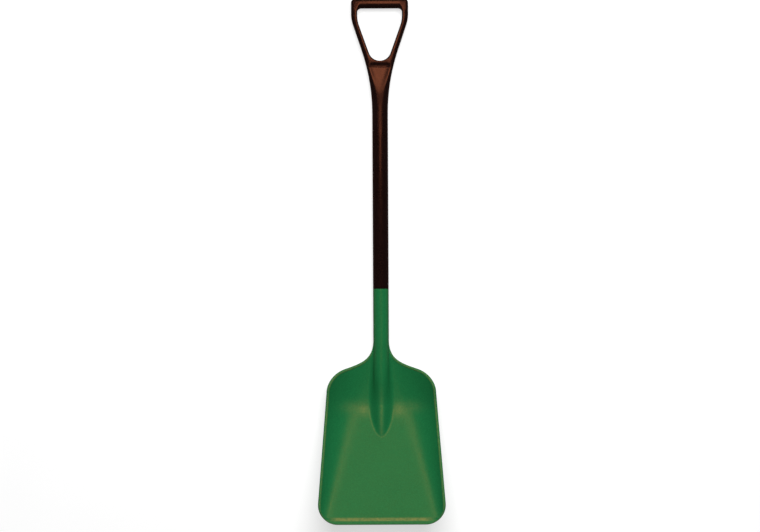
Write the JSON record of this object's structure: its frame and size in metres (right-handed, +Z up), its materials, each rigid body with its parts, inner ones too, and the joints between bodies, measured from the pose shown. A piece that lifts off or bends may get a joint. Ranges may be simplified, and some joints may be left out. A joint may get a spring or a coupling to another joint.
{
  "type": "snow shovel",
  "caption": "All-plastic snow shovel with a deep green scoop, a dark brown straight handle and a D-grip.",
  "frame": {"origin": "on the ground under the middle of the overall length, on the centre line", "axes": "+Y runs along the handle from the scoop to the D-grip, +X is across the scoop, +Z points up out of the scoop's open face"},
  "size_m": [0.3416, 1.41, 0.1369],
  "materials": {
    "green_polypropylene": "satin moulded",
    "brown_polypropylene": "semi-gloss moulded",
    "core_aluminium": "drawn",
    "plug_plastic": "moulded",
    "screw_steel": "zinc plated"
  },
  "bodies": {
    "root": {"blade": "green_polypropylene", "shaft_sleeve": "brown_polypropylene", "d_grip": "brown_polypropylene", "core_tube": "core_aluminium", "core_plug_lower": "plug_plastic", "core_plug_upper": "plug_plastic", "socket_screws": "screw_steel", "grip_screw": "screw_steel"}
  },
  "joints": []
}
